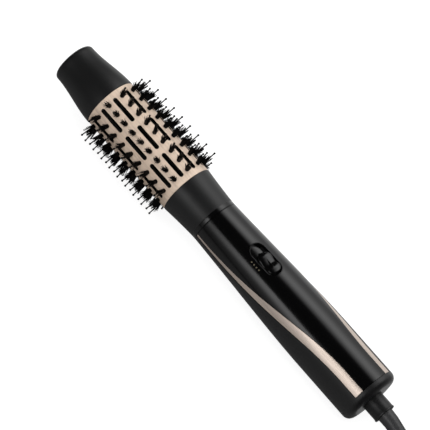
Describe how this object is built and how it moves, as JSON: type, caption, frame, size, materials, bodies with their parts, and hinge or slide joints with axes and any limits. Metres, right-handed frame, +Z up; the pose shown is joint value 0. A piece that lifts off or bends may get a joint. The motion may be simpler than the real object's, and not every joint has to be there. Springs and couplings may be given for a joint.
{
  "type": "round barrel brush",
  "caption": "Hot-air styling brush: tapered handle with blower and heater, twist-off round barrel with slots and ball-tipped bristles, swivel mains cord.",
  "frame": {"origin": "centre of the bounding box of the brush without its free cord, at the height of the table it lies on", "axes": "+X along the brush towards the cool tip, +Y to the left seen from the cord end, +Z up, away from the table; the switch faces +Z"},
  "size_m": [0.4599, 0.0921, 0.0622],
  "materials": {
    "satin_black": "satin",
    "gloss_black": "high gloss",
    "champagne_trim": "brushed, warm",
    "champagne_barrel": "satin, warm",
    "frame_plating": "dark bright rim",
    "dot_ink": "printed, gold",
    "screw_steel": "zinc plated",
    "wire_mesh": "fine screen",
    "heat_plastic": "heat resistant",
    "duct_plastic": "moulded",
    "motor_steel": "drawn",
    "motor_cap_plastic": "moulded",
    "winding_copper": "enamelled wire",
    "fan_plastic": "natural nylon",
    "mica": "flaky sheet",
    "heating_wire": "oxidised",
    "thermostat_body": "plated",
    "fuse_body": "ceramic",
    "board_green": "solder mask",
    "component_amber": "dipped",
    "switch_case": "moulded",
    "slider_plastic": "natural acetal",
    "lead_brown": "insulated",
    "lead_red": "insulated",
    "lead_white": "glass sleeved",
    "cord_black": "soft satin",
    "tie_black": "plain",
    "pin_plating": "nickel plated",
    "pin_nylon": "nylon",
    "bristle_nylon": "fine bristles"
  },
  "bodies": {
    "handle": {"rear_housing": "satin_black", "front_panel": "gloss_black", "trim_strip_left": "champagne_trim", "trim_strip_right": "champagne_trim", "switch_frame": "frame_plating", "speed_dots": "dot_ink", "housing_screws": "screw_steel", "inlet_mesh": "wire_mesh", "outlet_tube": "heat_plastic", "fan_duct": "duct_plastic", "motor_can": "motor_steel", "motor_end_cap": "motor_cap_plastic", "motor_mount": "duct_plastic", "heater_shield": "mica", "heater_frame": "mica", "heater_coil": "heating_wire", "thermostat": "thermostat_body", "thermal_fuse": "fuse_body", "circuit_board": "board_green", "board_parts": "component_amber", "board_screws": "screw_steel", "slide_switch": "switch_case", "mains_leads": "lead_brown", "motor_leads": "lead_red", "heater_leads": "lead_white", "cord_clamp": "duct_plastic", "clamp_screws": "screw_steel", "gland_sleeve": "cord_black", "strain_relief": "cord_black", "mains_cord": "cord_black", "cord_coil": "cord_black", "cord_tie": "tie_black", "plug_lead": "cord_black", "plug_relief": "cord_black", "plug_body": "cord_black", "plug_pins": "pin_plating"},
    "swivel": {"swivel_core": "cord_black"},
    "fan": {"motor_shaft": "motor_steel", "armature": "winding_copper", "fan_impeller": "fan_plastic"},
    "switch": {"switch_knob": "gloss_black", "switch_slider": "slider_plastic"},
    "ring": {"lock_ring": "gloss_black"},
    "head": {"collar": "satin_black", "barrel": "champagne_barrel", "inner_cage": "heat_plastic", "bristle_strips": "pin_nylon", "bristle_tufts": "bristle_nylon", "cool_tip": "satin_black", "end_disc": "heat_plastic", "tip_screw": "screw_steel"}
  },
  "joints": [
    {"name": "cord_swivel", "type": "hinge", "parent": "handle", "child": "swivel", "pos_m": [-0.14982, 0, 0.02055], "axis": [0.9991, 0, 0.0435], "continuous": true},
    {"name": "fan_spin", "type": "hinge", "parent": "handle", "child": "fan", "pos_m": [-0.07489, 0, 0.02381], "axis": [0.9991, 0, 0.0435], "continuous": true},
    {"name": "switch_slide", "type": "slide", "parent": "handle", "child": "switch", "axis": [0.9991, 0, 0.0435], "range_m": [0, 0.0072]},
    {"name": "head_twist", "type": "hinge", "parent": "handle", "child": "ring", "pos_m": [0.01303, 0, 0.02765], "axis": [0.9991, 0, 0.0435], "range_deg": [0, 20]},
    {"name": "head_pull", "type": "slide", "parent": "ring", "child": "head", "axis": [0.9991, 0, 0.0435], "range_m": [0, 0.035]}
  ]
}
